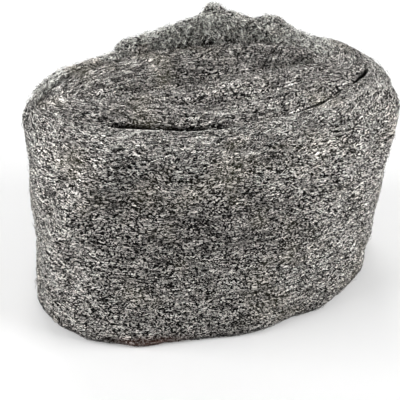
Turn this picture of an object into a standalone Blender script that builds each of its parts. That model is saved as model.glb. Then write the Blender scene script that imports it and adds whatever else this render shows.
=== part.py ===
"""A steel wool roll: one long strip of wool, wound flat round a slot and standing on its end.

The strip's two faces follow one spiral seam. The seam is a chain of quarter superellipses
that crosses the roll's centre lines at the front, right, back and left in turn. A station
on the strip is a rounded section between the seam and the same seam one turn further out,
so neighbouring turns nest and keep an even gap. Units are metres, with +Z up.
"""

import math

import bmesh
import bpy
import numpy as np

# The roll stands on the cut edges of a strip this wide.
ROLL_HEIGHT = 0.0885

# The slot left in the middle, and how far it lies behind the middle of the roll.
SLOT_LENGTH = 0.0990
SLOT_WIDTH = 0.0075
SLOT_SET_BACK = 0.0178

# How thick each turn lies on each side, and the same from the slot outwards.
FRONT_INNER_TURN = 0.0185
FRONT_MIDDLE_TURN = 0.0175
FRONT_OUTER_TURN = 0.0302
BACK_INNER_TURN = 0.0245
BACK_OUTER_TURN = 0.0062
BACK_LAST_TURN = 0.0015
RIGHT_INNER_TURN = 0.0085
RIGHT_MIDDLE_TURN = 0.0120
RIGHT_OUTER_TURN = 0.0062
LEFT_INNER_TURN = 0.0230
LEFT_OUTER_TURN = 0.0056
FRONT_TURNS = (FRONT_INNER_TURN, FRONT_MIDDLE_TURN, FRONT_OUTER_TURN)
BACK_TURNS = (BACK_INNER_TURN, BACK_OUTER_TURN, BACK_LAST_TURN)
RIGHT_TURNS = (RIGHT_INNER_TURN, RIGHT_MIDDLE_TURN, RIGHT_OUTER_TURN)
LEFT_TURNS = (LEFT_INNER_TURN, LEFT_OUTER_TURN)
TURN_GAP = 0.0012

# Where the bends lie between the slot's line (1) and the middle of the roll (0), and how far
# right of the middle the front folds lie.
RIGHT_BENDS = (1.0, 0.50, 0.34, 0.0)
LEFT_BENDS = (0.95, 0.65, 0.0)
FRONT_FOLDS = (0.0, 0.0, 0.0080, 0.0)

# Powers of the sine and cosine along and across the roll. (1, 1) is an ellipse, a larger
# power across draws a fold out to a pointed end, and smaller powers square it.
FOLD_POWERS = (1.0, 1.6)
BACK_POWERS = (1.0, 1.0)
OUTSIDE_POWERS = (0.858, 0.858)

# The strip's ends, in turns from the front of the slot.
INNER_END = -0.20
OUTER_END = 2.39
END_LENGTH = 0.05

# Round edges, in order round the seam: the lip of the turn inside it and of the one outside.
LIPS_INSIDE = (0.003, 0.003, 0.003, 0.003, 0.002, 0.0015, 0.003, 0.005, 0.006,
               0.007, 0.003, 0.0025, 0.006, 0.010, 0.008, 0.002)
LIPS_OUTSIDE = (0.004, 0.004, 0.004, 0.007, 0.006, 0.0015, 0.003, 0.002, 0.003,
                0.006, 0.003, 0.002, 0.002, 0.002, 0.002, 0.002)
BASE_ROUND = 0.0030
CROWN = 0.0012

# The top edge of each bend against ROLL_HEIGHT, in order round the strip.
CREST_STEPS = (-0.002, 0.0, 0.0, 0.0005, -0.0005, -0.0008, 0.0, 0.0, 0.0015, 0.0, -0.0005, 0.0)

# The torn flap that stands up at the back: places along the roll, and heights there.
FLAP_PLACES = (-0.0305, -0.0275, -0.0220, -0.0140, -0.0030, 0.0050, 0.0075, 0.0100, 0.0145, 0.0170,
               0.0215, 0.0245, 0.0300, 0.0325, 0.0350, 0.0400, 0.0430, 0.0460, 0.0500)
FLAP_HEIGHTS = (0.0, 0.0046, 0.0048, 0.0060, 0.0080, 0.0098, 0.0098, 0.0145, 0.0154, 0.0112,
                0.0100, 0.0082, 0.0055, 0.0052, 0.0074, 0.0065, 0.0032, 0.0010, 0.0)
FLAP_BACKWARD_LEAN = 0.12

# How the soft strip stands: it leans, its foot swells at the left, and its faces are uneven.
LEAN_RIGHT = 0.0044
LEAN_FORWARD = 0.0013
FOOT_SWELL = 0.0022
FOOT_SWELL_HEIGHT = 0.019
FOOT_SWELL_BEARING = math.radians(185.0)
WAVE_DEPTH = 0.0006
RIM_WAVE = 0.0005

# Lumps on the outermost face, which fade out towards the strip's outer end.
LUMP_DEPTH = 0.0007
LUMPS_FROM = OUTER_END + 0.02
LUMPS_TO = OUTER_END + 0.96
LUMPS_FADE = 0.05

STATIONS_PER_TURN = 64
FLAP_STATIONS = 3
INNER_WALL_LEVELS = (0.28, 0.55, 0.80)
OUTER_WALL_LEVELS = (0.10, 0.21, 0.32, 0.43, 0.54, 0.65, 0.76, 0.85)

WOOL_COLOUR = (0.19, 0.18, 0.165, 1.0)


def clear_scene():
    for obj in list(bpy.data.objects):
        bpy.data.objects.remove(obj, do_unlink=True)


def of_turn(values, turn):
    """The value listed for a turn. Turns past the list have its last value."""
    return values[min(turn, len(values) - 1)]


def crossing(quarter, grow):
    """Where the seam crosses a centre line, with the seam moved outwards by grow.

    Quarter -1 is the slot's left tip, 0 its front, 1 its right tip, 2 its back, 3 the
    left bend of the first turn, and so on round the roll.
    """
    turn, side = divmod(quarter, 4)
    half_width = SLOT_WIDTH / 2
    if side == 0:
        front = SLOT_SET_BACK - half_width - sum(FRONT_TURNS[:turn]) - grow
        return of_turn(FRONT_FOLDS, turn), front
    if side == 1:
        right = SLOT_LENGTH / 2 + sum(RIGHT_TURNS[:turn]) + grow
        return right, of_turn(RIGHT_BENDS, turn) * SLOT_SET_BACK
    if side == 2:
        return 0.0, SLOT_SET_BACK + half_width + sum(BACK_TURNS[:turn]) + grow
    if turn < 0:
        return TURN_GAP - SLOT_LENGTH / 2 - grow, LEFT_BENDS[0] * SLOT_SET_BACK
    left = -SLOT_LENGTH / 2 - sum(LEFT_TURNS[:turn]) - grow
    return left, of_turn(LEFT_BENDS, turn) * SLOT_SET_BACK


def powers(quarter):
    """Powers along and across the roll from this crossing of the seam to the next."""
    if quarter >= 9:
        return OUTSIDE_POWERS
    return FOLD_POWERS if quarter in (3, 4, 7, 8) else BACK_POWERS


def seam(turns, grow):
    """A point of the seam, counted in turns from the front of the slot."""
    quarter = math.floor(4 * turns)
    angle = (4 * turns - quarter) * math.pi / 2
    along, across = powers(quarter)
    early, late = math.cos(angle), math.sin(angle)
    (x_from, y_from), (x_to, y_to) = crossing(quarter, grow), crossing(quarter + 1, grow)
    if quarter % 2 == 0:
        x = x_from + (x_to - x_from) * late**along
        return np.array((x, y_to + (y_from - y_to) * early**across))
    x = x_to + (x_from - x_to) * early**along
    return np.array((x, y_from + (y_to - y_from) * late**across))


def round_the_seam(values, turns):
    """A value listed from the slot's left tip onwards, read between two crossings."""
    return float(np.interp(4 * turns + 1, range(len(values)), values))


def flap_height(x):
    return float(np.interp(x, FLAP_PLACES, FLAP_HEIGHTS))


def is_flap(turns):
    """Whether a station lies in the back outer layer, which carries the flap."""
    return 1.30 < turns < 1.70


def wave(turns, height):
    """How far a face swells, the same for the two turns that meet there."""
    around = 2 * math.pi * turns
    upward = height / ROLL_HEIGHT
    swell = WAVE_DEPTH * (
        math.sin(5 * around + 2.1 * upward)
        + 0.7 * math.sin(9 * around + 1.3 - 4.4 * upward)
        + 0.6 * math.sin(3.2 * upward + 2.4 * around + 0.6)
    )
    from_the_end = min(turns - LUMPS_FROM, LUMPS_TO - turns)
    lumps = LUMP_DEPTH * min(1.0, max(0.0, from_the_end / LUMPS_FADE)) * (
        math.sin(17 * around + 4.0 * upward) * math.sin(19.0 * upward + 3 * around + 0.8)
        + 0.8 * math.sin(13 * around - 9.0 * upward + 2.1)
    )
    return swell + lumps


def face_point(turns, height, grow):
    """A point on one face of the strip at a height, with the face's own unevenness."""
    point = seam(turns, grow)
    bearing = 2 * math.pi * turns - math.pi / 2
    return point + wave(turns, height) * np.array((math.cos(bearing), math.sin(bearing)))


def round_edge(radius, steps):
    """(inset from the wall, distance from the flat) of points along a quarter-round edge."""
    angles = [math.pi / 2 * step / steps for step in range(steps + 1)]
    return [(radius * (1 - math.cos(a)), radius * (1 - math.sin(a))) for a in angles]


def section(turns, shrink):
    """The strip's section at a station, as points in order round it.

    Shrink narrows the section towards its middle, which rounds the strip's two ends.
    """
    top = ROLL_HEIGHT + round_the_seam(CREST_STEPS, turns) + RIM_WAVE * math.sin(23 * turns)
    middle = (seam(turns, 0) + seam(turns + 1, 0)) / 2
    if is_flap(turns):
        top += flap_height(middle[0])
    thickness = np.linalg.norm(seam(turns + 1, 0) - seam(turns, 0)) - TURN_GAP
    inner_lip = min(round_the_seam(LIPS_OUTSIDE, turns), 0.42 * thickness)
    outer_lip = min(round_the_seam(LIPS_INSIDE, turns + 1), 0.42 * thickness)
    base = min(BASE_ROUND, 0.3 * thickness)

    foot = round_edge(base, 2)
    profile = [("inner", inset, rise) for inset, rise in reversed(foot)]
    profile += [("inner", 0.0, level * ROLL_HEIGHT) for level in INNER_WALL_LEVELS]
    profile += [("inner", inset, top - drop) for inset, drop in round_edge(inner_lip, 3)]
    profile.append(("middle", 0.0, top + min(CROWN, 0.1 * thickness)))
    profile += [("outer", inset, top - drop) for inset, drop in reversed(round_edge(outer_lip, 3))]
    profile += [("outer", 0.0, level * ROLL_HEIGHT) for level in reversed(OUTER_WALL_LEVELS)]
    profile += [("outer", inset, rise) for inset, rise in foot]

    points = []
    for face, inset, height in profile:
        near = face_point(turns, height, TURN_GAP / 2)
        far = face_point(turns + 1, height, -TURN_GAP / 2)
        share = {"inner": inset / thickness, "middle": 0.5, "outer": 1 - inset / thickness}[face]
        share = 0.5 + (share - 0.5) * shrink
        flat = near + (far - near) * share
        height = top / 2 + (height - top / 2) * (0.9 + 0.1 * shrink)
        points.append(stand(flat, height))
    return points


def stand(flat, height):
    """Places a point of the upright strip on the leaning, swollen roll."""
    x, y = flat
    bearing = math.atan2(y, x)
    turned = math.cos(bearing - FOOT_SWELL_BEARING)
    low = max(0.0, 1 - height / FOOT_SWELL_HEIGHT)
    swell = FOOT_SWELL * max(0.0, turned) ** 4 * low * (2 - low) * math.hypot(x, y)
    reach = SLOT_LENGTH / 2 + sum(LEFT_TURNS)
    x += swell / reach * math.cos(bearing)
    y += swell / reach * math.sin(bearing)
    above = height / ROLL_HEIGHT - 0.5
    back = FLAP_BACKWARD_LEAN * max(0.0, height - ROLL_HEIGHT)
    return x + LEAN_RIGHT * above, y - LEAN_FORWARD * above + back, height


def stations():
    """Places along the strip, closer together in the flap and at the two ends."""
    step = 1 / STATIONS_PER_TURN
    places = []
    for count in range(math.ceil(INNER_END / step), math.floor(OUTER_END / step) + 1):
        places.append(count * step)
        if is_flap(places[-1]):
            places += [(count + part / FLAP_STATIONS) * step for part in range(1, FLAP_STATIONS)]
    return places


def end_shrink(turns):
    """How full the section is: 1 along the strip, rounding down over each end."""
    first, last = stations()[0], stations()[-1]
    into = min(turns - first, last - turns) / END_LENGTH
    return math.sqrt(1 - (1 - min(1.0, 0.12 + into)) ** 2)


def make_roll():
    mesh = bmesh.new()
    rings = []
    for turns in stations():
        rings.append([mesh.verts.new(point) for point in section(turns, end_shrink(turns))])
    for ring, following in zip(rings, rings[1:]):
        for corner in range(len(ring)):
            behind = corner - 1
            mesh.faces.new((ring[behind], ring[corner], following[corner], following[behind]))
    mesh.faces.new(rings[0][::-1])
    mesh.faces.new(rings[-1])
    bmesh.ops.recalc_face_normals(mesh, faces=mesh.faces)

    corners = np.array([vert.co for vert in mesh.verts])
    low, high = corners.min(axis=0), corners.max(axis=0)
    to_middle = (-(low[0] + high[0]) / 2, -(low[1] + high[1]) / 2, -low[2])
    bmesh.ops.translate(mesh, verts=mesh.verts, vec=to_middle)

    data = bpy.data.meshes.new("steel_wool_roll")
    mesh.to_mesh(data)
    mesh.free()
    data.shade_smooth()
    roll = bpy.data.objects.new("steel_wool_roll", data)
    bpy.context.scene.collection.objects.link(roll)
    return roll


def wool_material():
    material = bpy.data.materials.new("steel_wool")
    material.use_nodes = True
    surface = material.node_tree.nodes["Principled BSDF"]
    surface.inputs["Base Color"].default_value = WOOL_COLOUR
    surface.inputs["Metallic"].default_value = 0.85
    surface.inputs["Roughness"].default_value = 0.5
    return material


def main():
    clear_scene()
    roll = make_roll()
    roll.data.materials.append(wool_material())


main()
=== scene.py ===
"""Steel wool roll, dressed: the matted strip, the loose fibres over it, the floor and the light.

The roll is one strip of steel wool wound flat round a slot and stood on its end. The body is
the strip's own surface, fine enough to carry lumps and tucks. Over all of it that shows lie
thousands of tapered strands, which follow the winding as the real fibres do.
"""

import logging
import math
from collections.abc import Iterator
from contextlib import contextmanager
from dataclasses import dataclass, field
from enum import Enum

import bpy
import numpy as np
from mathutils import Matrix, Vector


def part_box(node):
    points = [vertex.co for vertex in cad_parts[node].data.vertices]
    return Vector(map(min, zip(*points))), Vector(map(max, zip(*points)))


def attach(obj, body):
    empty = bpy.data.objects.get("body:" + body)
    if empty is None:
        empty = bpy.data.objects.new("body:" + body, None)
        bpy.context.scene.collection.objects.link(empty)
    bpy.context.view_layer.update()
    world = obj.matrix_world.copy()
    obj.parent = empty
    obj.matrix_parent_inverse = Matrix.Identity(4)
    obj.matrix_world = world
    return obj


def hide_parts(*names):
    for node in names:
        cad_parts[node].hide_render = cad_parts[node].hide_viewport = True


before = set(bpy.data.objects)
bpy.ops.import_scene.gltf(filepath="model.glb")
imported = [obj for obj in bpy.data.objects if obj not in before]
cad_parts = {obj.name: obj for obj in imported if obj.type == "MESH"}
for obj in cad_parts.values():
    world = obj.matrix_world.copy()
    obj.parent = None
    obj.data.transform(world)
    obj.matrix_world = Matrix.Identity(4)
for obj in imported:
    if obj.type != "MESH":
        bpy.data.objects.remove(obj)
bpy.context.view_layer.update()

NODE = "steel_wool_roll"
BODY = "root"
BAKE_MAP = "OFBake"
WINDING_MAP = "winding"
SHADE = "strand_shade"
EXPOSED = "exposed"
OPENNESS_SHADE = "openness"
MM = 0.001
# How much of the first map, and of a strand's cell in it, stays free along each edge.
MAP_EDGE, CELL_EDGE = 0.004, 0.04
WHITE = (1, 1, 1, 1)
Pair = tuple[float, float]
Triple = tuple[float, float, float]

# Where the seam between two turns stands open as a dark crease, in turns of the seam: a gap, with
# painted shade on its lips.
OPEN_CREASES = ((0.785, 0.84), (1.36, 1.62), (1.875, 2.005), (2.045, 2.10), (2.155, 2.205))
# Where the strip's outer face becomes the roll's outside, in turns of the strip.
OUTSIDE_FROM = 1.385
# The stretch of the strip that carries the torn flap, in turns.
FLAP_TURNS = (1.30, 1.70)
# Bands of shade along the winding: width in mm over 2 pi, swing, waves in a turn, phase.
BANDS = ((0.15, 3.0, 6, 0.5), (0.27, 2.0, 5, 1.0), (0.43, 2.0, 4, 2.0), (0.74, 2.0, 3, 0.0))

log = logging.getLogger("steel_wool_roll")


def deselect_all() -> None:
    """Leaves object mode with nothing selected, so an operator acts only on what comes next."""
    if bpy.context.mode != "OBJECT":
        bpy.ops.object.mode_set(mode="OBJECT")
    bpy.ops.object.select_all(action="DESELECT")


def make_active(obj: bpy.types.Object) -> None:
    """Selects one object alone and makes it the active one."""
    deselect_all()
    obj.select_set(True)
    bpy.context.view_layer.objects.active = obj


@contextmanager
def editing(obj: bpy.types.Object) -> Iterator[None]:
    """Edit mode on one object, with all of its mesh selected at the start."""
    make_active(obj)
    bpy.ops.object.mode_set(mode="EDIT")
    bpy.ops.mesh.select_all(action="SELECT")
    yield
    bpy.ops.object.mode_set(mode="OBJECT")


def write(items: bpy.types.bpy_prop_collection, name: str, values: np.ndarray) -> None:
    """Writes one number or vector to each item of a collection."""
    items.foreach_set(name, values.astype(np.float32).ravel())


def add_map(mesh: bpy.types.Mesh, name: str, places: np.ndarray) -> None:
    """Adds a map that has a place for each corner of the faces."""
    write(mesh.uv_layers.new(name=name).data, "uv", places)


def add_values(mesh: bpy.types.Mesh, name: str, values: np.ndarray) -> None:
    """Adds an attribute that gives each point a value for the finish to read."""
    write(mesh.attributes.new(name=name, type="FLOAT", domain="POINT").data, "value", values)


def eased(part: np.ndarray) -> np.ndarray:
    """A part from 0 to 1 with its rise eased at both ends."""
    return part * part * (3 - 2 * part)


def unit(vectors: np.ndarray) -> np.ndarray:
    """Vectors brought to a length of one."""
    return vectors / np.maximum(np.linalg.norm(vectors, axis=-1), 1e-9)[..., None]


def pointing(angle: np.ndarray) -> np.ndarray:
    """The flat vector of length one at each angle from the first axis."""
    return np.stack([np.cos(angle), np.sin(angle)], axis=-1)


def between(values: np.ndarray, ends: Pair) -> np.ndarray:
    """Whether values lie between two ends."""
    return (values > ends[0]) & (values < ends[1])


def in_crease(turns: np.ndarray) -> np.ndarray:
    """Whether the seam is open as a dark crease at these places."""
    return np.any([between(turns, crease) for crease in OPEN_CREASES], axis=0)


class Socket:
    """A shader socket that takes part in plain arithmetic.

    Each operator adds the Math node that works it out.
    """

    def __init__(self, tree: "NodeTree", output: bpy.types.NodeSocket) -> None:
        """Wraps one output of a node in its tree."""
        self.tree = tree
        self.output = output

    def _math(self, operation: str, *values: "Socket | float", clamp: bool = False) -> "Socket":
        """The value of a new Math node, held between 0 and 1 if it is to be clamped."""
        settings = {"operation": operation, "use_clamp": clamp}
        return self.tree.node("ShaderNodeMath", settings, dict(enumerate(values)))

    def __add__(self, other: "Socket | float") -> "Socket":
        """This value plus another."""
        return self._math("ADD", self, other)

    __radd__ = __add__

    def __rsub__(self, other: "Socket | float") -> "Socket":
        """Another value less this one."""
        return self._math("SUBTRACT", other, self)

    def __mul__(self, other: "Socket | float") -> "Socket":
        """This value times another."""
        return self._math("MULTIPLY", self, other)

    __rmul__ = __mul__

    def clamped(self) -> "Socket":
        """This value held between 0 and 1."""
        return self._math("ADD", self, 0.0, clamp=True)

    def ranged(self, low: float, high: float) -> "Socket":
        """This value, which runs from 0 to 1, spread from low to high."""
        return self * (high - low) + low

    def smooth_step(self, low: float, high: float) -> "Socket":
        """0 below low, 1 above high, and a smooth rise between them."""
        settings = {"interpolation_type": "SMOOTHSTEP"}
        values = {"Value": self, "From Min": low, "From Max": high}
        return self.tree.node("ShaderNodeMapRange", settings, values)


class NodeTree:
    """Builds one node tree from Python expressions."""

    def __init__(self, tree: bpy.types.NodeTree) -> None:
        """Empties the tree and starts on it."""
        self.tree = tree
        tree.nodes.clear()

    def node(
        self,
        kind: str,
        settings: dict[str, object] | None = None,
        values: dict[str | int, object] | None = None,
        output: str | int = 0,
    ) -> Socket:
        """Adds any node.

        Args:
            kind: the node's type.
            settings: its properties, set before its sockets.
            values: numbers, colours or Sockets for its inputs, by name or place.
            output: the output that is wanted.

        Returns:
            That output.
        """
        made = self.tree.nodes.new(kind)
        for name, value in (settings or {}).items():
            setattr(made, name, value)
        for name, value in (values or {}).items():
            if isinstance(value, Socket):
                self.tree.links.new(value.output, made.inputs[name])
            else:
                made.inputs[name].default_value = value
        return Socket(self, made.outputs[output])

    def mix(self, factor: "Socket | float", low: object, high: object) -> Socket:
        """A colour between two others, by the Mix node's sockets for colours."""
        return self.node("ShaderNodeMix", {"data_type": "RGBA"}, {0: factor, 6: low, 7: high}, 2)

    def noise(self, place: Socket, size: float, rough: float = 0.5) -> Socket:
        """Noise from 0 to 1 with features about this size, in the place's own units."""
        values = {"Vector": place, "Scale": 1.0 / size, "Detail": 2.0, "Roughness": rough}
        return self.node("ShaderNodeTexNoise", {"noise_dimensions": "3D"}, values)

    def grains(self, place: Socket, size: Triple) -> Socket:
        """Small grains, each with a random value from 0 to 1."""
        values = {"Vector": self.scaled(place, tuple(1.0 / side for side in size)), "Scale": 1.0}
        colour = self.node("ShaderNodeTexVoronoi", {"feature": "F1"}, values, "Color")
        return self.node("ShaderNodeSeparateColor", {}, {"Color": colour}, "Red")

    def scaled(self, vector: Socket, scale: Triple) -> Socket:
        """A place or a colour with each of its three numbers multiplied."""
        return self.node("ShaderNodeVectorMath", {"operation": "MULTIPLY"}, {0: vector, 1: scale})

    def part(self, vector: Socket, axis: int) -> Socket:
        """One of a vector's three numbers."""
        return self.node("ShaderNodeSeparateXYZ", {}, {0: vector}, axis)

    def grey(self, value: Socket) -> Socket:
        """A number as a grey colour."""
        return self.node("ShaderNodeCombineColor", {}, {0: value, 1: value, 2: value})

    def finish(self, shader: Socket, kind: str = "ShaderNodeOutputMaterial") -> None:
        """Sends a shader to the tree's output."""
        end = self.tree.nodes.new(kind)
        self.tree.links.new(shader.output, end.inputs["Surface"])


def new_material(name: str) -> tuple[bpy.types.Material, NodeTree]:
    """A new material and its empty node tree."""
    material = bpy.data.materials.new(name)
    material.use_nodes = True
    return material, NodeTree(material.node_tree)


@dataclass(frozen=True)
class Winding:
    """The seam that both faces of the strip follow, as the solid has it, in metres.

    The seam crosses the roll's centre lines at the front, right, back and left in turn, and
    a quarter superellipse joins each crossing to the next.
    """

    roll_height: float = 0.0885
    slot_length: float = 0.0990
    slot_width: float = 0.0075
    slot_set_back: float = 0.0178
    front_turns: tuple[float, ...] = (0.0185, 0.0175, 0.0302)
    right_turns: tuple[float, ...] = (0.0085, 0.0120, 0.0062)
    back_turns: tuple[float, ...] = (0.0245, 0.0062, 0.0015)
    left_turns: tuple[float, ...] = (0.0230, 0.0056)
    gap: float = 0.0012
    right_bends: tuple[float, ...] = (1.0, 0.50, 0.34, 0.0)
    left_bends: tuple[float, ...] = (0.95, 0.65, 0.0)
    front_folds: tuple[float, ...] = (0.0, 0.0, 0.0080, 0.0)
    fold_powers: Pair = (1.0, 1.6)
    outside_powers: Pair = (0.858, 0.858)
    fold_quarters: tuple[int, ...] = (3, 4, 7, 8)
    outside_from: int = 9
    inner_end: float = -0.20
    outer_end: float = 2.39
    wave_depth: float = 0.0006
    lump_depth: float = 0.0007
    lump_turns: Pair = (2.41, 3.35)
    lump_fade: float = 0.05

    def crossing(self, quarter: int) -> tuple[float, float, float, float]:
        """Where the seam crosses a centre line.

        Args:
            quarter: the crossing's number: -1 is the slot's left tip, 0 its front, and so on.

        Returns:
            Its x and y, and the x and y of the way outwards there.
        """
        turn, side = divmod(quarter, 4)
        tip = self.slot_length / 2
        if side == 0:
            near = self.slot_set_back - self.slot_width / 2
            return self.front_folds[min(turn, 3)], near - sum(self.front_turns[:turn]), 0.0, -1.0
        if side == 1:
            bend = self.right_bends[min(turn, 3)] * self.slot_set_back
            return tip + sum(self.right_turns[:turn]), bend, 1.0, 0.0
        if side == 2:
            far = self.slot_set_back + self.slot_width / 2
            return 0.0, far + sum(self.back_turns[:turn]), 0.0, 1.0
        if turn < 0:
            return self.gap - tip, self.left_bends[0] * self.slot_set_back, -1.0, 0.0
        bend = self.left_bends[min(turn, 2)] * self.slot_set_back
        return -tip - sum(self.left_turns[:turn]), bend, -1.0, 0.0

    def seam(self, turns: np.ndarray, grow: float) -> np.ndarray:
        """Points of the seam.

        Args:
            turns: places in turns from the front of the slot.
            grow: how far the seam is moved outwards.

        Returns:
            An (n, 2) array of x and y.
        """
        last = 4 * (math.ceil(self.outer_end) + 1)
        marks = np.array([self.crossing(quarter) for quarter in range(-1, last + 2)])
        marks = marks[:, :2] + grow * marks[:, 2:]
        quarter = np.floor(4 * turns).astype(int)
        angle = (4 * turns - quarter) * math.pi / 2
        powers = np.ones((len(turns), 2))
        powers[np.isin(quarter, self.fold_quarters)] = self.fold_powers
        powers[quarter >= self.outside_from] = self.outside_powers
        early = np.cos(angle)[:, None] ** powers
        late = np.sin(angle)[:, None] ** powers
        start, end = marks[quarter + 1], marks[quarter + 2]
        rising, falling = start + (end - start) * late, end + (start - end) * early
        is_even = (quarter % 2 == 0)[:, None]
        return np.where(is_even == np.array([True, False]), rising, falling)

    def face(self, turns: np.ndarray, heights: np.ndarray, grow: float) -> np.ndarray:
        """Points on one face of the strip, with the face's own long waves.

        Args:
            turns: one place for each station.
            heights: a row of heights for each station.
            grow: how far the face stands outwards of the seam.

        Returns:
            An (n, m, 2) array of x and y.
        """
        around = 2 * math.pi * turns[:, None]
        upward = heights / self.roll_height
        wave = self.wave_depth * (
            np.sin(5 * around + 2.1 * upward)
            + 0.7 * np.sin(9 * around + 1.3 - 4.4 * upward)
            + 0.6 * np.sin(3.2 * upward + 2.4 * around + 0.6)
        )
        lumps = np.sin(17 * around + 4.0 * upward) * np.sin(19.0 * upward + 3 * around + 0.8)
        lumps = lumps + 0.8 * np.sin(13 * around - 9.0 * upward + 2.1)
        from_the_end = np.minimum(turns - self.lump_turns[0], self.lump_turns[1] - turns)
        in_the_open = np.clip(from_the_end / self.lump_fade, 0.0, 1.0)[:, None]
        wave = wave + self.lump_depth * in_the_open * lumps
        out = pointing(around - math.pi / 2)
        return self.seam(turns, grow)[:, None, :] + wave[..., None] * out

    def even_stations(self, count: int) -> np.ndarray:
        """Places along the strip that lie evenly apart, from its inner end to its outer end."""
        fine = np.linspace(self.inner_end, self.outer_end, 8000)
        path = (self.seam(fine, 0) + self.seam(fine + 1, 0)) / 2
        length = np.concatenate([[0], np.cumsum(np.linalg.norm(np.diff(path, axis=0), axis=1))])
        return np.interp(np.linspace(0, length[-1], count), length, fine)


@dataclass(frozen=True)
class Shape:
    """How the strip's section and stance vary, as the solid has them, in metres."""

    base_round: float = 0.0030
    base_share: float = 0.3
    crown: float = 0.0012
    crown_share: float = 0.1
    crest_steps: tuple[float, ...] = (
        -0.002, 0.0, 0.0, 0.0005, -0.0005, -0.0008, 0.0, 0.0, 0.0015, 0.0, -0.0005, 0.0)
    flap_places: tuple[float, ...] = (
        -0.0305, -0.0275, -0.0220, -0.0140, -0.0030, 0.0050, 0.0075, 0.0100, 0.0145, 0.0170,
        0.0215, 0.0245, 0.0300, 0.0325, 0.0350, 0.0400, 0.0430, 0.0460, 0.0500)
    flap_heights: tuple[float, ...] = (
        0.0, 0.0046, 0.0048, 0.0060, 0.0080, 0.0098, 0.0098, 0.0145, 0.0154, 0.0112,
        0.0100, 0.0082, 0.0055, 0.0052, 0.0074, 0.0065, 0.0032, 0.0010, 0.0)
    flap_lean: float = 0.12
    rim_wave: float = 0.0005
    end_length: float = 0.05
    end_start: float = 0.02
    end_drop: float = 0.1
    lean_right: float = 0.0044
    lean_forward: float = 0.0013
    foot_swell: float = 0.0022
    foot_swell_height: float = 0.019
    foot_swell_bearing: float = math.radians(185.0)

    @staticmethod
    def round_the_seam(values: tuple[float, ...], turns: np.ndarray) -> np.ndarray:
        """Values listed from the slot's left tip onwards, read between two crossings."""
        return np.interp(4 * turns + 1, range(len(values)), values)

    def stood(self, flat: np.ndarray, height: np.ndarray, winding: Winding) -> np.ndarray:
        """Places points of the upright strip on the leaning, swollen roll.

        Args:
            flat: x and y of each point.
            height: each point's height.
            winding: the strip's winding.

        Returns:
            An array of x, y and z.
        """
        x, y = flat[..., 0], flat[..., 1]
        bearing = np.arctan2(y, x)
        turned = np.maximum(0.0, np.cos(bearing - self.foot_swell_bearing)) ** 4
        low = np.maximum(0.0, 1 - height / self.foot_swell_height)
        reach = winding.slot_length / 2 + sum(winding.left_turns)
        swell = self.foot_swell * turned * low * (2 - low) * np.hypot(x, y) / reach
        above = height / winding.roll_height - 0.5
        back = self.flap_lean * np.maximum(0.0, height - winding.roll_height)
        return np.stack([x + swell * np.cos(bearing) + self.lean_right * above,
                         y + swell * np.sin(bearing) - self.lean_forward * above + back,
                         height], axis=-1)


class Face(Enum):
    """The parts of the strip's section, in order round it, with the grid columns each gets."""

    INNER_WALL = ("inner wall", 12)
    INNER_LIP = ("inner lip", 6)
    CREST = ("crest", 12)
    OUTER_LIP = ("outer lip", 9)
    OUTER_WALL = ("outer wall", 50)
    OUTER_FOOT = ("outer foot", 6)
    BOTTOM = ("bottom", 4)
    INNER_FOOT = ("inner foot", 3)

    def __init__(self, _label: str, steps: int) -> None:
        """Keeps the number of columns. The label tells apart the parts that have as many."""
        self.steps = steps


@dataclass(frozen=True)
class Tuck:
    """A crease in the outer face, from one (turns, height) to another."""

    start: Pair
    end: Pair
    depth: float
    width: float
    brow: float
    brow_rise: float = 2.2
    brow_spread: float = 1.3
    waver: float = 0.6 * MM
    waves: float = 21.0
    phase_for_depth: float = 40.0

    def press(self, turns: np.ndarray, heights: np.ndarray) -> np.ndarray:
        """How far the crease moves the face outwards.

        Args:
            turns: place along the strip at each point.
            heights: height of each point.

        Returns:
            The move at each point, below zero in the crease and above it on the brow over it.
        """
        along = (turns - self.start[0]) / (self.end[0] - self.start[0])
        line = self.start[1] + (self.end[1] - self.start[1]) * along
        phase = self.phase_for_depth * self.depth / MM
        line = line + self.waver * np.sin(self.waves * along + phase)
        rise = heights - line
        taper = eased(np.clip(3 * along, 0, 1) * np.clip(3 * (1 - along), 0, 1))
        groove = np.exp(-((rise / self.width) ** 2))
        over = (rise - self.brow_rise * self.width) / (self.brow_spread * self.width)
        return taper * (self.brow * np.exp(-(over**2)) - self.depth * groove)


@dataclass(frozen=True)
class Openness:
    """How open to view the strip's parts are, from 0 to 1, and the lengths it fades over; low
    openness is painted shade on the body.
    """

    crest: float = 0.8
    lip: float = 0.62
    outside_lip: float = 0.9
    crease_lip: float = 0.8
    below_rim: float = 0.3
    flap: float = 0.5
    rim_depth: float = 6 * MM
    flap_height: float = 4 * MM
    foot_height: float = 5 * MM
    fade_turns: float = 0.02


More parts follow.
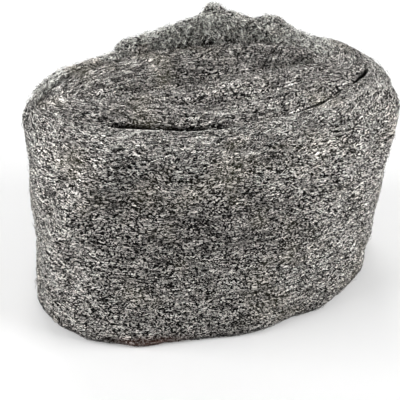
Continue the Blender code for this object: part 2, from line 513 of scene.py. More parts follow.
@dataclass
class WoolSurface:
    """The body's surface as a grid that loose strands are laid on."""

    points: np.ndarray
    normals: np.ndarray
    places: np.ndarray
    turns: np.ndarray
    faces: list[Face]

    def __post_init__(self) -> None:
        """Measures the grid's cells."""
        self.last_row = len(self.points) - 1.001
        along = np.linalg.norm(np.diff(self.points, axis=0), axis=2)
        across = np.linalg.norm(np.diff(self.points, axis=1), axis=2)
        self.along = np.maximum(np.vstack([along, along[-1:]]), 0.1 * MM)
        self.across = np.maximum(np.hstack([across, across[:, -1:]]), 0.1 * MM)

    def blend(self, values: np.ndarray, u: np.ndarray, v: np.ndarray) -> np.ndarray:
        """Values of the grid read between its points."""
        i, j = np.floor(u).astype(int), np.floor(v).astype(int)
        a, b = (u - i), (v - j)
        if values.ndim == 3:
            a, b = a[:, None], b[:, None]
        low = values[i, j] * (1 - b) + values[i, j + 1] * b
        high = values[i + 1, j] * (1 - b) + values[i + 1, j + 1] * b
        return low * (1 - a) + high * a

    def weights(self, chosen: np.ndarray) -> np.ndarray:
        """Area of each cell that is chosen, as shares of the whole."""
        area = (self.along * self.across * chosen)[:-1, :-1]
        return (area / area.sum()).ravel()

    def is_face(self, *wanted: Face) -> np.ndarray:
        """Which columns lie on these parts of the section."""
        return np.array([face in wanted for face in self.faces])

    def first_column(self, face: Face) -> int:
        """The first column of a part of the section."""
        return self.faces.index(face)

    def last_column(self, face: Face) -> int:
        """The last column of a part of the section."""
        return len(self.faces) - 2 - self.faces[-2::-1].index(face)


@dataclass
class WoolBody:
    """The matted strip itself: a fine grid wound into the roll, with its lumps and tucks."""

    winding: Winding = field(default_factory=Winding)
    shape: Shape = field(default_factory=Shape)
    openness: Openness = field(default_factory=Openness)
    stations: int = 460
    seam_gaps: tuple[Pair, ...] = (
        (-0.25, 1.2), (0.60, 1.2), (0.75, -0.6), (0.785, 0.9), (0.84, 1.0), (0.87, -0.8),
        (1.20, -0.9), (1.27, 0.9), (1.36, 1.5),
        (1.62, 1.0), (1.66, -0.5), (1.82, -0.5), (1.87, 0.4), (1.89, 3.2), (1.95, 3.4),
        (1.985, 2.4), (2.005, 0.9), (2.02, 0.4), (2.035, 1.0), (2.055, 1.5), (2.085, 1.4),
        (2.10, 0.9), (2.12, 0.1), (2.145, 0.0), (2.165, 1.3), (2.195, 1.2), (2.22, 0.0),
        (2.30, 0.0), (2.385, 0.8))
    lumps: tuple[Pair, ...] = ((6 * MM, 0.7 * MM), (3 * MM, 0.35 * MM))
    lips_inside: tuple[Pair, ...] = (
        (-0.25, 3.0), (0.50, 3.0), (0.75, 1.6), (1.00, 1.8), (1.22, 1.6), (1.30, 3.0),
        (1.50, 4.0), (1.64, 3.0), (1.70, 0.9), (1.80, 0.9), (1.84, 2.0), (2.02, 2.2),
        (2.10, 3.0), (2.18, 2.0), (2.30, 1.0), (2.50, 2.5), (2.75, 6.0), (3.00, 10.0),
        (3.25, 8.0), (3.50, 2.0))
    lips_outside: tuple[Pair, ...] = (
        (-0.25, 4.0), (0.00, 3.5), (0.25, 4.0), (0.50, 9.0), (0.72, 5.0), (0.80, 1.0),
        (1.00, 0.5), (1.22, 0.6), (1.30, 2.0), (1.50, 2.0), (1.64, 1.5), (1.70, 0.7),
        (1.79, 0.8), (1.85, 2.5), (2.05, 3.0), (2.18, 2.0), (2.30, 1.2), (2.50, 2.0))
    lip_limit: float = 0.42
    slot_fill_depth: Pair = (3 * MM, 12 * MM)
    slot_fill: float = 0.42
    slot_fade: Pair = (0.80, 0.06)
    skin: float = 0.5 * MM
    levels: int = 20
    tucks: tuple[Tuck, ...] = (
        Tuck((1.80, 80 * MM), (1.965, 76 * MM), 1.5 * MM, 1.6 * MM, 0.3 * MM),
        Tuck((1.84, 51 * MM), (2.10, 50 * MM), 0.9 * MM, 1.2 * MM, 0.3 * MM),
        Tuck((1.86, 36 * MM), (2.07, 35 * MM), 0.9 * MM, 1.2 * MM, 0.3 * MM),
        Tuck((1.88, 25 * MM), (2.05, 24 * MM), 0.7 * MM, 1.1 * MM, 0.3 * MM),
        Tuck((1.90, 66 * MM), (2.14, 67 * MM), 0.6 * MM, 1.2 * MM, 0.2 * MM),
    )

    @staticmethod
    def listed(values: tuple[Pair, ...], turns: np.ndarray) -> np.ndarray:
        """Lengths listed in millimetres by turns of the seam, read between them, in metres."""
        places, lengths = zip(*values)
        return np.interp(turns, places, lengths) * MM

    def section(self, turns: np.ndarray) -> tuple[np.ndarray, np.ndarray, list[Face]]:
        """The strip's section at each station.

        Args:
            turns: the stations.

        Returns:
            The share of the thickness and the height of each point of the section, and the
            part of the section that each column belongs to.
        """
        winding, shape = self.winding, self.shape
        middle = (winding.seam(turns, 0) + winding.seam(turns + 1, 0)) / 2
        thickness = np.linalg.norm(winding.seam(turns + 1, 0) - winding.seam(turns, 0), axis=1)
        thickness = (thickness - winding.gap)[:, None]
        top = winding.roll_height + shape.round_the_seam(shape.crest_steps, turns)
        top = top + shape.rim_wave * np.sin(23 * turns)
        flap = np.interp(middle[:, 0], shape.flap_places, shape.flap_heights)
        top = (top + np.where(between(turns, FLAP_TURNS), flap, 0.0))[:, None]
        inner, outer = (
            np.minimum(self.listed(lips, places)[:, None], self.lip_limit * thickness)
            for lips, places in ((self.lips_outside, turns), (self.lips_inside, turns + 1)))
        base = np.minimum(shape.base_round, shape.base_share * thickness)
        crown = np.minimum(shape.crown, shape.crown_share * thickness)

        shares, heights, faces = [], [], []
        for face in Face:
            part = np.arange(face.steps)[None, :] / face.steps
            early, late = 1 - np.cos(part * math.pi / 2), 1 - np.sin(part * math.pi / 2)
            zero = 0 * part * thickness
            share, height = {
                Face.INNER_WALL: (zero, base + (top - inner - base) * (1 - (1 - part) ** 2)),
                Face.INNER_LIP: (inner * early / thickness, top - inner * late),
                Face.CREST: ((inner + (thickness - inner - outer) * part) / thickness,
                             top + 4 * crown * part * (1 - part)),
                Face.OUTER_LIP: (1 - outer * late / thickness, top - outer * early),
                Face.OUTER_WALL: (1 + zero, top - outer + (base - top + outer) * part),
                Face.OUTER_FOOT: (1 - base * early / thickness, base * late),
                Face.BOTTOM: ((thickness - base - (thickness - 2 * base) * part) / thickness,
                              zero),
                Face.INNER_FOOT: (base * late / thickness, base * early),
            }[face]
            shares.append(share)
            heights.append(height)
            faces += [face] * face.steps
        share, height = np.hstack(shares), np.hstack(heights)
        share = np.hstack([share, share[:, :1]])
        height = np.hstack([height, height[:, :1]])

        into = np.minimum(turns - turns[0], turns[-1] - turns) / shape.end_length
        into = np.minimum(1.0, shape.end_start + into)[:, None]
        shrink = np.sqrt(1 - (1 - into) ** 2)
        share = 0.5 + (share - 0.5) * shrink
        height = top / 2 + (height - top / 2) * (1 - shape.end_drop * (1 - shrink))
        return share, height, faces + [Face.INNER_WALL]

    def wound(self, turns: np.ndarray) -> tuple[np.ndarray, np.ndarray, list[Face]]:
        """The whole surface as a grid of points, with how far each one is exposed."""
        share, height, faces = self.section(turns)
        near = self.face(turns, height, 1.0)
        far = self.face(turns + 1, height, -1.0)
        outward = pointing(2 * math.pi * turns - math.pi / 2)[:, None, :]
        is_wall = np.array([face in (Face.OUTER_WALL, Face.OUTER_LIP) for face in faces])
        pressed = sum(tuck.press(turns[:, None], height) for tuck in self.tucks)
        flat = near + (far - near) * share[..., None]
        flat = flat + (pressed * is_wall[None, :])[..., None] * outward
        points = self.shape.stood(flat, height, self.winding)
        corners = np.array(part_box(NODE))
        shift = corners.mean(axis=0) - (points.min(axis=(0, 1)) + points.max(axis=(0, 1))) / 2
        points = points + np.array([shift[0], shift[1], corners[0][2] - points[..., 2].min()])
        return points, self.exposure(turns, height, faces), faces

    def face(self, turns: np.ndarray, height: np.ndarray, side: float) -> np.ndarray:
        """Points on one face, drawn back from the seam by half the gap that shows there.

        Args:
            turns: one seam place for each station.
            height: a row of heights for each station.
            side: 1 for a face outwards of the seam, and -1 for one inwards of it.

        Returns:
            An (n, m, 2) array of x and y.
        """
        open_gap = self.listed(self.seam_gaps, turns) / 2
        grown = self.winding.face(turns, height, 0.0)
        step = 0.1 * MM
        out = (self.winding.seam(turns, step) - self.winding.seam(turns, 0.0)) / step
        points = grown + side * (open_gap[:, None] * out)[:, None, :]
        if side < 0:
            fade = (turns - 1 - OUTSIDE_FROM) / self.openness.fade_turns
            return points - (self.skin * np.clip(fade, 0, 1)[:, None] * out)[:, None, :]
        low, high = self.slot_fill_depth
        depth = eased(np.clip((self.winding.roll_height - height - low) / (high - low), 0, 1))
        slot_end, fade = self.slot_fade
        slot = np.clip((slot_end - turns) / fade, 0, 1)[:, None]
        fill = self.slot_fill * self.winding.slot_width * depth * slot
        return points - fill[..., None] * out[:, None, :]

    def crease_depth(self, turns: np.ndarray) -> np.ndarray:
        """1 where the seam is open as a dark crease, falling to 0 at the crease's ends."""
        depths = [np.minimum(turns - start, end - turns) for start, end in OPEN_CREASES]
        return np.clip(np.max(depths, axis=0) / self.openness.fade_turns, 0, 1)

    def exposure(self, turns: np.ndarray, height: np.ndarray, faces: list[Face]) -> np.ndarray:
        """How open each point is to view, which lets it swell and sets the body's painted shade: 1
        outside and 0 in the gaps.
        """
        opened = self.openness
        outside = np.clip((turns - OUTSIDE_FROM) / opened.fade_turns, 0, 1)
        below_top = self.winding.roll_height - height
        near_rim = opened.below_rim * np.clip(1 - below_top / opened.rim_depth, 0, 1)
        raised = opened.flap * np.clip(-below_top / opened.flap_height, 0, 1)
        exposure = np.zeros_like(height)
        for column, face in enumerate(faces):
            if face is Face.CREST:
                exposure[:, column] = opened.crest
            elif face in (Face.INNER_LIP, Face.OUTER_LIP):
                inner = face is Face.INNER_LIP
                part = (column - faces.index(face)) / face.steps
                # Painted shade: the lips darken towards an open crease.
                shaded = opened.crease_lip * (part if inner else 1 - part)
                lip = np.maximum(opened.lip, opened.outside_lip * outside)
                crease = self.crease_depth(turns if inner else turns + 1)
                exposure[:, column] = lip + crease * (shaded - lip)
            elif face in (Face.OUTER_WALL, Face.OUTER_FOOT):
                exposure[:, column] = np.maximum(outside, near_rim[:, column])
            elif face is Face.INNER_WALL:
                exposure[:, column] = near_rim[:, column] + raised[:, column]
        # Near the floor it falls to 0: the foot does not swell, and its colour gets painted shade.
        return exposure * np.clip(height / opened.foot_height, 0, 1)

    def build(self) -> tuple[bpy.types.Object, WoolSurface]:
        """Models the body.

        Returns:
            Its object, and its surface for the strands.
        """
        turns = self.winding.even_stations(self.stations)
        points, exposed, faces = self.wound(turns)
        rows, columns = points.shape[:2]
        deselect_all()
        bpy.ops.mesh.primitive_grid_add(
            x_subdivisions=columns - 1, y_subdivisions=rows - 1, size=1)
        body = bpy.context.active_object
        body.name = "matted_wool_strip"
        write(body.data.vertices, "co", points)
        places = self.places(points, faces.index(Face.OUTER_WALL))
        self.map_winding(body.data, places)
        # The body's finish darkens the colour by this, as painted shade in gaps and creases.
        add_values(body.data, OPENNESS_SHADE, exposed)
        exposed_group = body.vertex_groups.new(name=EXPOSED)
        nearest = np.round(exposed.ravel() * self.levels)
        for level in range(1, self.levels + 1):
            at_level = np.flatnonzero(nearest == level).tolist()
            exposed_group.add(at_level, level / self.levels, "REPLACE")
        body.data.update()
        highest = max(body.data.polygons, key=lambda polygon: polygon.center.z)
        if highest.normal.z < 0:
            with editing(body):
                bpy.ops.mesh.flip_normals()
        for number, (size, depth) in enumerate(self.lumps):
            self.swell(body, number, size, depth)
        surface = self.read_surface(body, places, turns, faces)
        self.close(body)
        return body, surface

    @staticmethod
    def places(points: np.ndarray, wall: int) -> np.ndarray:
        """How far each point lies along the strip, and across it from the top of the wall.

        Args:
            points: the grid's points.
            wall: the first column of the outer wall.

        Returns:
            An (n, m, 2) array, in metres.
        """
        rows, columns = points.shape[:2]
        along = np.linalg.norm(np.diff(points[:, columns // 2], axis=0), axis=1)
        along = np.repeat(np.concatenate([[0], np.cumsum(along)])[:, None], columns, axis=1)
        across = np.linalg.norm(np.diff(points, axis=1), axis=2)
        across = np.hstack([np.zeros((rows, 1)), np.cumsum(across, axis=1)])
        return np.stack([along, across - across[:, [wall]]], axis=2)

    @staticmethod
    def map_winding(mesh: bpy.types.Mesh, places: np.ndarray) -> None:
        """Lays two maps on the grid: one in shares of the grid, and one in metres along and across
        the strip.
        """
        rows, columns = places.shape[:2]
        corner = np.empty(len(mesh.loops), dtype=np.int64)
        mesh.loops.foreach_get("vertex_index", corner)
        row, column = corner // columns, corner % columns
        metres = places[row, column]
        along, across = places[:, 0, 0], places[rows // 2, :, 1] - places[rows // 2, 0, 1]
        share = np.stack([along[row] / along[-1], across[column] / across[-1]], axis=1)
        mesh.uv_layers.remove(mesh.uv_layers[0])
        add_map(mesh, BAKE_MAP, MAP_EDGE + (1 - 2 * MAP_EDGE) * share)
        add_map(mesh, WINDING_MAP, metres)

    @staticmethod
    def swell(body: bpy.types.Object, number: int, size: float, depth: float) -> None:
        """Pushes soft lumps of one size into the open surfaces."""
        lumps = bpy.data.textures.new(f"wool_lumps_{number}", "CLOUDS")
        lumps.noise_scale = size
        lumps.noise_depth = 1
        make_active(body)
        displace = body.modifiers.new(f"lumps_{number}", "DISPLACE")
        displace.texture = lumps
        displace.texture_coords = "LOCAL"
        displace.strength = depth
        displace.vertex_group = EXPOSED
        bpy.ops.object.modifier_apply(modifier=displace.name)

    @staticmethod
    def read_surface(
        body: bpy.types.Object, places: np.ndarray, turns: np.ndarray, faces: list[Face]
    ) -> WoolSurface:
        """Reads the swollen grid back, while its points still stand in their order."""
        grids = []
        for items, name in ((body.data.vertices, "co"), (body.data.vertex_normals, "vector")):
            values = np.empty((*places.shape[:2], 3), dtype=np.float32)
            items.foreach_get(name, values.ravel())
            grids.append(values.astype(float))
        return WoolSurface(*grids, places, turns, faces)

    @staticmethod
    def close(body: bpy.types.Object) -> None:
        """Joins the grid's long edges, fills its two ends and turns every face outwards."""
        with editing(body):
            bpy.ops.mesh.remove_doubles(threshold=0.02 * MM)
            bpy.ops.mesh.select_all(action="DESELECT")
            bpy.ops.mesh.select_mode(type="EDGE")
            bpy.ops.mesh.select_non_manifold()
            bpy.ops.mesh.fill_holes(sides=0)
            bpy.ops.mesh.select_all(action="SELECT")
            bpy.ops.mesh.normals_make_consistent(inside=False)
        bpy.ops.object.shade_smooth()


class Zone(Enum):
    """Where a coat of loose strands lies."""

    WALL = "outer wall"
    TOP = "crests and lips"
    FLAP = "flap, slot and rims"


@dataclass
class Strand:
    """One steel fibre, modelled once: a long three-sided sliver that tapers at both ends."""

    segments: int = 3
    taper: float = 0.35

    def model(self) -> None:
        """Models the fibre along +Z from 0 to 1, about one unit wide, and reads its mesh."""
        deselect_all()
        bpy.ops.mesh.primitive_circle_add(vertices=3, radius=1.0, fill_type="NGON")
        sliver = bpy.context.active_object
        with editing(sliver):
            bpy.ops.transform.resize(value=(self.taper,) * 3)
            for step in range(self.segments):
                bpy.ops.mesh.extrude_region_move(
                    TRANSFORM_OT_translate={"value": (0, 0, 1 / self.segments)})
                if step == 0:
                    bpy.ops.transform.resize(value=(1 / self.taper, 1 / self.taper, 1))
                if step == self.segments - 1:
                    bpy.ops.transform.resize(value=(self.taper, self.taper, 1))
            bpy.ops.mesh.select_all(action="SELECT")
            bpy.ops.mesh.normals_make_consistent(inside=False)
        mesh = sliver.data
        self.corners = np.array([vertex.co[:] for vertex in mesh.vertices])
        self.polygons = [tuple(polygon.vertices) for polygon in mesh.polygons]
        self.cells = self.unroll()
        bpy.data.objects.remove(sliver, do_unlink=True)
        bpy.data.meshes.remove(mesh)

    def unroll(self) -> np.ndarray:
        """Places of the corners of its faces in a map of one cell: round it and along it."""
        places = []
        for polygon in self.polygons:
            points = self.corners[list(polygon)]
            spread = np.ptp(points[:, 2])
            middle = points.mean(axis=0)
            facing = math.atan2(middle[1], middle[0])
            for x, y, z in points:
                if spread < 1e-6:
                    places.append((0.5 + 0.4 * x, 0.97 if z > 0.5 else 0.03))
                    continue
                turned = (math.atan2(y, x) - facing + math.pi) % (2 * math.pi) - math.pi
                side = (facing + turned) / (2 * math.pi)
                places.append((0.5 + 0.5 * side, 0.06 + 0.88 * z))
        return np.clip(np.array(places), 0.0, 1.0)


@dataclass
class Walks:
    """Where the strands of a coat run, step by step, with each one's half width and shade."""

    points: np.ndarray
    normals: np.ndarray
    places: np.ndarray
    width: np.ndarray
    shade: np.ndarray


@dataclass
class StrandCoat:
    """One coat of loose strands over a zone of the body."""

    name: str
    zone: Zone
    count: int
    seed: int
    length: Pair = (4 * MM, 9 * MM)
    width: Pair = (0.09 * MM, 0.15 * MM)
    lift: Pair = (0.05 * MM, 0.5 * MM)
    spread: float = math.radians(16)
    curl: float = math.radians(12)
    crimp: float = 0.08 * MM
    arch: float = 0.6
    flatness: float = 0.7
    stray: float = 0.06
    stray_reach: float = 1.6 * MM
    stray_least: float = 0.4
    shades: Pair = (1.6, 2.2)
    band_strength: float = 0.14
    middle: float = 9 * MM
    flattening: float = 1.5
    floor_gap: float = 0.2 * MM
    paces: int = 4
    widest_pace: float = 0.8
    step_in: float = 0.3
    top_inset: float = 1.5
    crest_inset: float = 0.5
    lip_inset: float = 4.0
    wall_start: float = 1.375
    raised_above: float = 0.087
    slot_end: float = 0.95
    slot_above: float = 0.066
    shares: Triple = (2.0, 0.7, 0.15)

    def chosen(self, surface: WoolSurface) -> np.ndarray:
        """Which cells of the body's grid the coat starts on."""
        turns, height = surface.turns[:, None], surface.points[..., 2]
        outside = turns > OUTSIDE_FROM
        crest = surface.is_face(Face.INNER_LIP, Face.CREST, Face.OUTER_LIP)[None, :]
        outer = surface.is_face(Face.OUTER_LIP, Face.OUTER_WALL, Face.OUTER_FOOT)[None, :]
        inner = surface.is_face(Face.INNER_WALL)[None, :]
        if self.zone is Zone.WALL:
            return (outer & outside).astype(float)
        if self.zone is Zone.TOP:
            return crest.astype(float) * np.ones_like(height)
        raised = between(turns, FLAP_TURNS) & (height > self.raised_above)
        slot = inner & (turns < self.slot_end) & (height > self.slot_above)
        flap_share, slot_share, rim_share = self.shares
        return flap_share * raised + slot_share * slot + rim_share * (crest & outside)

    def limits(self, surface: WoolSurface) -> tuple[float, np.ndarray, np.ndarray]:
        """The grid places that the coat's strands keep to.

        Args:
            surface: the body's surface.

        Returns:
            The first station, and the first and last place across the strip at each station.
        """
        first, last = {
            Zone.WALL: (Face.OUTER_LIP, Face.OUTER_FOOT),
            Zone.TOP: (Face.INNER_LIP, Face.OUTER_LIP),
            Zone.FLAP: (Face.INNER_WALL, Face.OUTER_LIP),
        }[self.zone]
        inset = self.top_inset if self.zone is Zone.TOP else 0.0
        low = np.full(len(surface.turns), surface.first_column(first) + inset)
        high = np.full(len(surface.turns), surface.last_column(last) + 0.999 - 1.5 * inset)
        for start, end in OPEN_CREASES:
            outside = between(surface.turns, (start, end))
            inside = between(surface.turns, (start - 1, end - 1))
            if start > FLAP_TURNS[1]:
                crest = surface.first_column(Face.CREST) + self.crest_inset
                low[outside] = np.maximum(low[outside], crest)
            if self.zone is not Zone.WALL:
                high[inside] = surface.last_column(Face.OUTER_LIP) - self.lip_inset
        start = np.searchsorted(surface.turns, self.wall_start) if self.zone is Zone.WALL else 0
        return float(start), low, high

    def lay(self, surface: WoolSurface, steps: int) -> Walks:
        """Walks every strand over the surface.

        Args:
            surface: the body's surface.
            steps: segments in a strand.

        Returns:
            The walks, with their places along and across the strip.
        """
        rng = np.random.default_rng(self.seed)
        u_low, low, high = self.limits(surface)
        column = np.arange(surface.points.shape[1])[None, :]
        allowed = (column >= low[:, None] - 1) & (column <= high[:, None])
        weights = surface.weights(self.chosen(surface) * allowed)
        cells = rng.choice(len(weights), self.count, p=weights)
        columns = surface.points.shape[1] - 1
        u = cells // columns + rng.random(self.count)
        v = cells % columns + rng.random(self.count)
        length = rng.uniform(*self.length, self.count)
        heading = rng.normal(0, self.spread, self.count) + math.pi * rng.integers(0, 2, self.count)
        lift = rng.uniform(*self.lift, self.count)
        is_stray = rng.random(self.count) < self.stray
        reach = self.stray_reach * rng.uniform(self.stray_least, 1.0, self.count)
        reach = np.where(is_stray, reach, 0.0)
        bias = rng.normal(0, self.curl / 2, self.count)
        step = length / steps
        u_high = surface.last_row
        place = surface.blend(surface.places, u, v)
        laid, normals, places = [], [], []
        for number in range(steps + 1):
            u = np.clip(u, u_low, u_high)
            v = np.clip(v, low[u.astype(int)], high[u.astype(int)])
            normal = unit(surface.blend(surface.normals, u, v))
            part = number / steps
            rise = lift * math.sin(math.pi * part) ** self.arch
            height = rise + rng.normal(0, self.crimp / 2, self.count) + reach * part**2
            point = surface.blend(surface.points, u, v) + normal * height[:, None]
            laid.append(point + rng.normal(0, self.crimp / 2, (self.count, 3)))
            normals.append(normal)
            places.append(place)
            place = place + step[:, None] * pointing(heading)
            for _ in range(self.paces):
                pace = step / self.paces
                forward = pace * np.cos(heading) / surface.blend(surface.along, u, v)
                sideways = pace * np.sin(heading) / surface.blend(surface.across, u, v)
                u = np.clip(u + forward, u_low, u_high)
                v = v + np.clip(sideways, -self.widest_pace, self.widest_pace)
                if self.zone is Zone.TOP:
                    u, v = self.crossed(surface, u, v, low, high)
                v = np.clip(v, low[u.astype(int)], high[u.astype(int)])
            heading = heading + bias + rng.normal(0, self.curl, self.count)
        width = rng.uniform(*self.width, self.count)
        shade = rng.beta(*self.shades, self.count)
        shade = np.clip(shade + self.bands(laid[0], surface.turns[cells // columns]), 0.0, 1.0)
        return Walks(*(np.stack(kept, axis=1) for kept in (laid, normals, places)), width, shade)

    def bands(self, points: np.ndarray, turns: np.ndarray) -> np.ndarray:
        """Lighter and darker bands that follow the winding, from about -0.5 to 0.5.

        On the wall a band keeps its height, and on top its distance from the roll's middle.

        Args:
            points: where each strand starts.
            turns: the place along the strip where it starts.

        Returns:
            What each strand's shade gains.
        """
        around = 2 * math.pi * turns
        across = points[:, 2]
        if self.zone is not Zone.WALL:
            across = np.hypot(points[:, 0], self.flattening * (points[:, 1] - self.middle))
        across = across / MM
        return self.band_strength * sum(
            np.sin(across / size + swing * np.sin(waves * around + phase))
            for size, swing, waves, phase in BANDS)

    def crossed(
        self, surface: WoolSurface, u: np.ndarray, v: np.ndarray, low: np.ndarray,
        high: np.ndarray
    ) -> tuple[np.ndarray, np.ndarray]:
        """Takes strands that run off one turn over a closed seam to the next turn.

        Args:
            surface: the body's surface.
            u: places along the strip.
            v: places across it.
            low: the first place across the strip at each station.
            high: the last place across it.

        Returns:
            The places along and across the strip after the crossing.
        """
        rows = np.arange(len(surface.turns))
        row = u.astype(int)
        turns = np.interp(u, rows, surface.turns)
        outward = (v > high[row]) & (turns + 1 < surface.turns[-1]) & ~in_crease(turns + 1)
        inward = (v < low[row]) & (turns - 1 > surface.turns[0]) & ~in_crease(turns)
        moved = turns + outward - inward
        u = np.where(outward | inward, np.interp(moved, surface.turns, rows), u)
        u = np.clip(u, 0, surface.last_row)
        row = u.astype(int)
        v = np.where(inward, high[row] - self.step_in, v)
        return u, np.where(outward, low[row] + self.step_in, v)

    def build(self, surface: WoolSurface, strand: Strand) -> bpy.types.Object:
        """Copies the strand along every walk and joins the copies into one mesh.

        Args:
            surface: the body's surface.
            strand: the fibre, already modelled.

        Returns:
            The coat's object.
        """
        walks = self.lay(surface, strand.segments)
        tangent = unit(np.gradient(walks.points, axis=1))
        side = unit(np.cross(tangent, walks.normals))
        over = np.cross(side, tangent)
        rng = np.random.default_rng(self.seed + 1)
        turn = rng.uniform(0, 2 * math.pi, self.count)[:, None]
        ring = np.round(strand.corners[:, 2] * strand.segments).astype(int)
        x, y = strand.corners[None, :, 0], strand.corners[None, :, 1]
        across = (x * np.cos(turn) - y * np.sin(turn)) * walks.width[:, None]
        upward = (x * np.sin(turn) + y * np.cos(turn)) * walks.width[:, None] * self.flatness
        points = walks.points[:, ring] + side[:, ring] * across[..., None]
        points = points + over[:, ring] * upward[..., None]
        points[..., 2] = np.maximum(points[..., 2], self.floor_gap)

        corners = len(strand.corners)
        loops = np.concatenate([np.array(polygon) for polygon in strand.polygons])
        sizes = np.array([len(polygon) for polygon in strand.polygons])
        copies = np.arange(self.count)
        all_loops = (loops[None, :] + corners * copies[:, None]).ravel()
        starts = np.concatenate([[0], np.cumsum(np.tile(sizes, self.count))[:-1]])
        mesh = bpy.data.meshes.new(self.name)
        mesh.vertices.add(corners * self.count)
        write(mesh.vertices, "co", points)
        mesh.loops.add(len(all_loops))
        mesh.loops.foreach_set("vertex_index", all_loops.astype(np.int32))
        mesh.polygons.add(len(starts))
        mesh.polygons.foreach_set("loop_start", starts.astype(np.int32))
        mesh.update(calc_edges=True)
        self.map_cells(mesh, strand)
        add_map(mesh, WINDING_MAP, walks.places[:, ring].reshape(-1, 2)[all_loops])
        add_values(mesh, SHADE, np.repeat(walks.shade, corners))
        coat = bpy.data.objects.new(self.name, mesh)
        bpy.context.scene.collection.objects.link(coat)
        with editing(coat):
            bpy.ops.mesh.normals_make_consistent(inside=False)
        bpy.ops.object.shade_smooth()
        return coat

    def map_cells(self, mesh: bpy.types.Mesh, strand: Strand) -> None:
        """Gives each strand a cell of its own in a map laid out as a grid of cells."""
        grid = math.ceil(math.sqrt(self.count))
        copies = np.arange(self.count)
        corner = np.stack([copies % grid, copies // grid], axis=1)[:, None, :]
        inside = CELL_EDGE + (1 - 2 * CELL_EDGE) * strand.cells[None, :, :]
        add_map(mesh, BAKE_MAP, (corner + inside) / grid)


@dataclass(frozen=True)
class WoolFinish:
    """The look of steel wool, for the matted body and for the loose strands over it.

    The metal is bright and slightly warm. Its grains are painted glints and painted shade, and the
    dark between fibres is the open mat, whose colour is painted dark as the shade there.
    """

    name: str
    darkest: float
    brightest: float
    glints: Pair = (0.57, 0.67)
    metallic: float = 1.0
    roughness: Pair = (0.38, 0.52)
    grain: Triple = (0.60 * MM, 0.31 * MM, 1.0 * MM)
    streak: Triple = (0.08, 1.0, 1.0)
    streak_edges: Pair = (0.36, 0.66)
    streak_range: Pair = (0.40, 1.50)
    strand_range: Pair = (0.45, 1.65)
    gap_shade_edges: Pair = (0.1, 0.75)
    gap_shade_range: Pair = (0.15, 1.0)
    broad_range: Pair = (0.70, 1.30)
    foot_shade_range: Pair = (0.35, 1.0)
    front_shading: float = 0.30
    tarnishing: float = 0.16
    bump: float = 0.3
    warmth: Triple = (1.05, 1.0, 0.95)
    rust: tuple[float, float, float, float] = (0.16, 0.075, 0.055, 1.0)
    tarnish: tuple[float, float, float, float] = (0.30, 0.29, 0.17, 1.0)

    def material(self, on_strands: bool) -> bpy.types.Material:
        """Makes the finish.

        Args:
            on_strands: whether each strand has a shade of its own.

        Returns:
            The material.
        """
        material, nodes = new_material(self.name)
        place = nodes.node("ShaderNodeTexCoord", output="Object")
        winding = nodes.node("ShaderNodeUVMap", {"uv_map": WINDING_MAP})
        # Painted glints and painted shade: each grain turns the colour nearly white or nearly
        # black.
        value = nodes.grains(winding, self.grain).smooth_step(*self.glints)
        streaks = nodes.noise(nodes.scaled(winding, self.streak), 0.6 * MM, 0.6)
        value = value * streaks.smooth_step(*self.streak_edges).ranged(*self.streak_range)
        name = SHADE if on_strands else OPENNESS_SHADE
        own = nodes.node("ShaderNodeAttribute", {"attribute_name": name}, output="Fac")
        if on_strands:
            value = value * own.ranged(*self.strand_range)
        else:
            # Painted shade: the body's colour darkens where the strip is less open to view.
            value = value * own.smooth_step(*self.gap_shade_edges).ranged(*self.gap_shade_range)
        # Painted shade: the colour darkens over the lowest 8 mm, towards the floor.
        foot = nodes.part(place, 2).smooth_step(0.0, 8 * MM)
        value = value * nodes.noise(place, 9 * MM).ranged(*self.broad_range)
        value = value * foot.ranged(*self.foot_shade_range)
        # Painted shade: a darker band high on the middle of the front.
        value = value * (1 - self.front_shade_mask(nodes, place) * self.front_shading)
        bright = value.ranged(self.darkest, self.brightest)
        colour = nodes.scaled(nodes.grey(bright.clamped()), self.warmth)
        colour = nodes.mix(self.rust_mask(nodes, place), colour, self.rust)
        tarnished = nodes.noise(place, 21 * MM, 0.55).smooth_step(0.50, 0.80)
        colour = nodes.mix(tarnished * self.tarnishing, colour, self.tarnish)
        low, high = self.roughness
        past = 0.3 * (high - low)
        rough = nodes.noise(place, 2.0 * MM, 0.6).ranged(low - past, high + past)
        bump = nodes.node("ShaderNodeBump", {}, {
            "Strength": self.bump, "Distance": 0.25 * MM,
            "Height": nodes.noise(place, 0.30 * MM, 0.7)})
        nodes.finish(nodes.node("ShaderNodeBsdfPrincipled", {}, {
            "Base Color": colour, "Roughness": rough.clamped(), "Metallic": self.metallic,
            "Normal": bump}))
        return material

    @staticmethod
    def front_shade_mask(nodes: NodeTree, place: Socket) -> Socket:
        """Where painted shade darkens a band high on the middle of the front."""
        x, y, z = (nodes.part(place, axis) for axis in range(3))
        level = z.smooth_step(34 * MM, 58 * MM) * (1 - z.smooth_step(66 * MM, 80 * MM))
        middle = x.smooth_step(-62 * MM, -30 * MM) * (1 - x.smooth_step(0.0, 40 * MM))
        return level * middle * (1 - y.smooth_step(-38 * MM, -24 * MM))

    @staticmethod
    def rust_mask(nodes: NodeTree, place: Socket) -> Socket:
        """The faint reddish stain low on the front."""
        x, y, z = (nodes.part(place, axis) for axis in range(3))
        low = 1 - z.smooth_step(1.5 * MM, 8 * MM)
        left, right = x.smooth_step(-60 * MM, -42 * MM), 1 - x.smooth_step(-36 * MM, -18 * MM)
        front = 1 - y.smooth_step(-44 * MM, -32 * MM)
        return low * left * right * front * (nodes.noise(place, 1.5 * MM) * 0.9 + 0.1)


